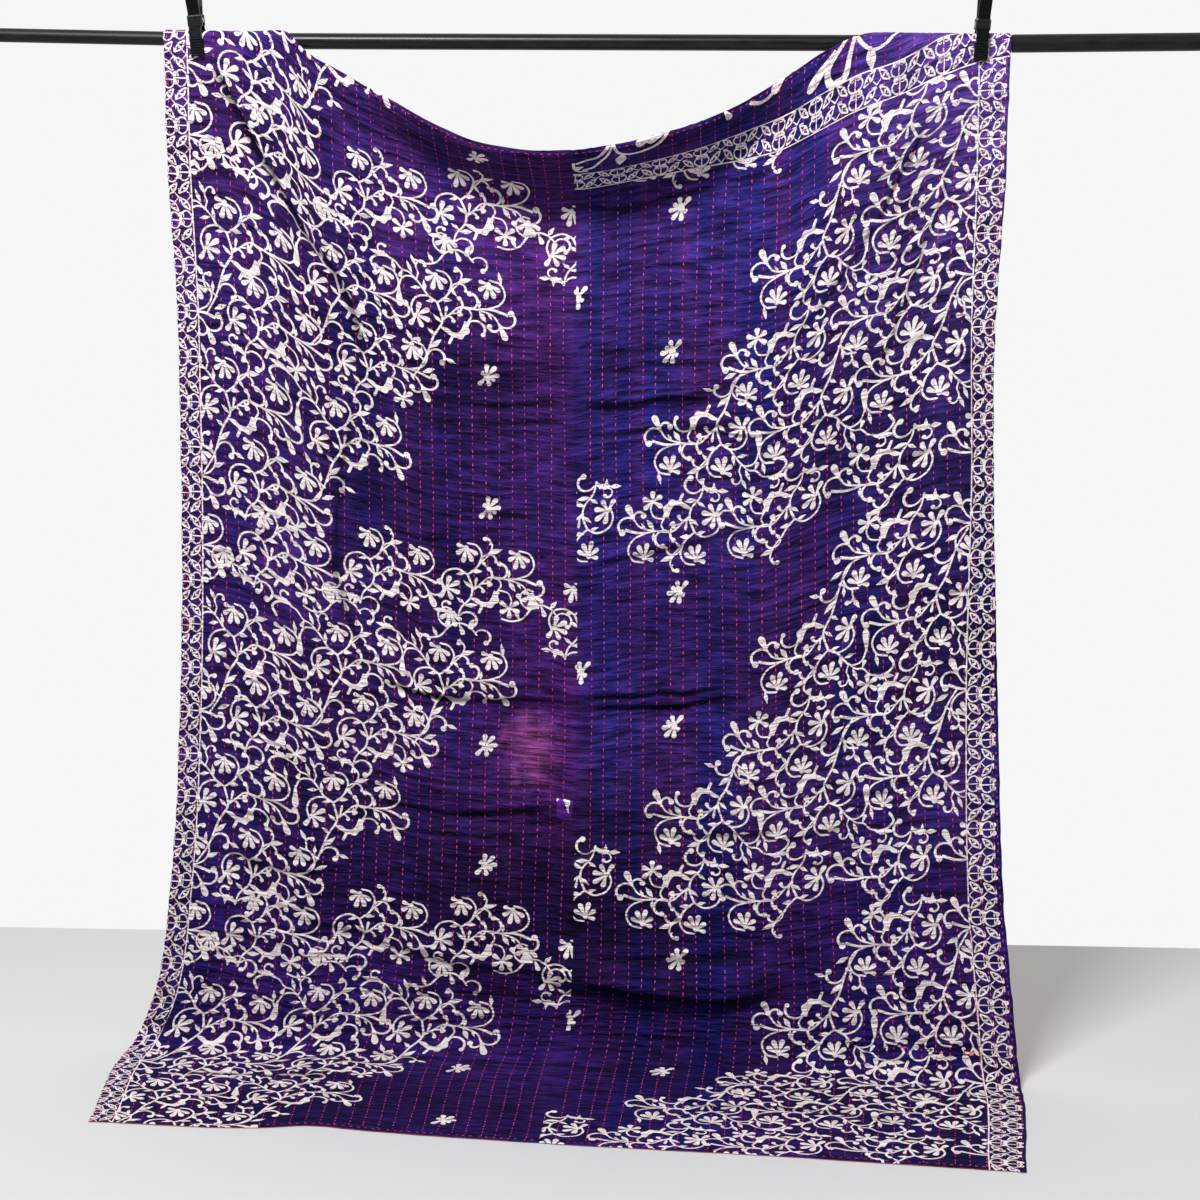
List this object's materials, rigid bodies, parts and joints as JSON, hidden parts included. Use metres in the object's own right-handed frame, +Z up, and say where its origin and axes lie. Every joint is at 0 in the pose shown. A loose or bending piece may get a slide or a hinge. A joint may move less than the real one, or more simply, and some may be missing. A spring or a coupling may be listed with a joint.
{
  "type": "kantha quilt hung on a telescopic rod",
  "caption": "Two-panel stitched kantha quilt clamped over a telescopic rod, its slack top hem sagging and its foot lying forward on the floor.",
  "frame": {"origin": "on the floor, under the middle of the bounding box", "axes": "+X along the rod, to the viewer's right; -Y the quilt's face; +Z up"},
  "size_m": [2.1209, 0.5546, 1.8442],
  "materials": {
    "left_panel": "matte quilted cotton, violet ground with pale print",
    "right_panel": "matte quilted cotton, indigo ground with pale print",
    "patch": "matte cotton",
    "rod": "gloss black enamel",
    "rod_caps": "satin black",
    "clamps": "satin black",
    "clamp_pads": "dull black, ribbed",
    "clamp_steel": "dull"
  },
  "bodies": {
    "root": {"quilt_left": "left_panel", "quilt_right": "right_panel", "patch": "patch", "rod_thin_tube": "rod", "rod_middle_tube": "rod", "rod_wide_tube": "rod", "rod_cap_left": "rod_caps", "rod_cap_right": "rod_caps", "clamp_left_front_arm": "clamps", "clamp_left_back_arm": "clamps", "clamp_left_front_pad": "clamp_pads", "clamp_left_back_pad": "clamp_pads", "clamp_left_pin": "clamp_steel", "clamp_left_spring": "clamp_steel", "clamp_right_front_arm": "clamps", "clamp_right_back_arm": "clamps", "clamp_right_front_pad": "clamp_pads", "clamp_right_back_pad": "clamp_pads", "clamp_right_pin": "clamp_steel", "clamp_right_spring": "clamp_steel"}
  },
  "joints": []
}
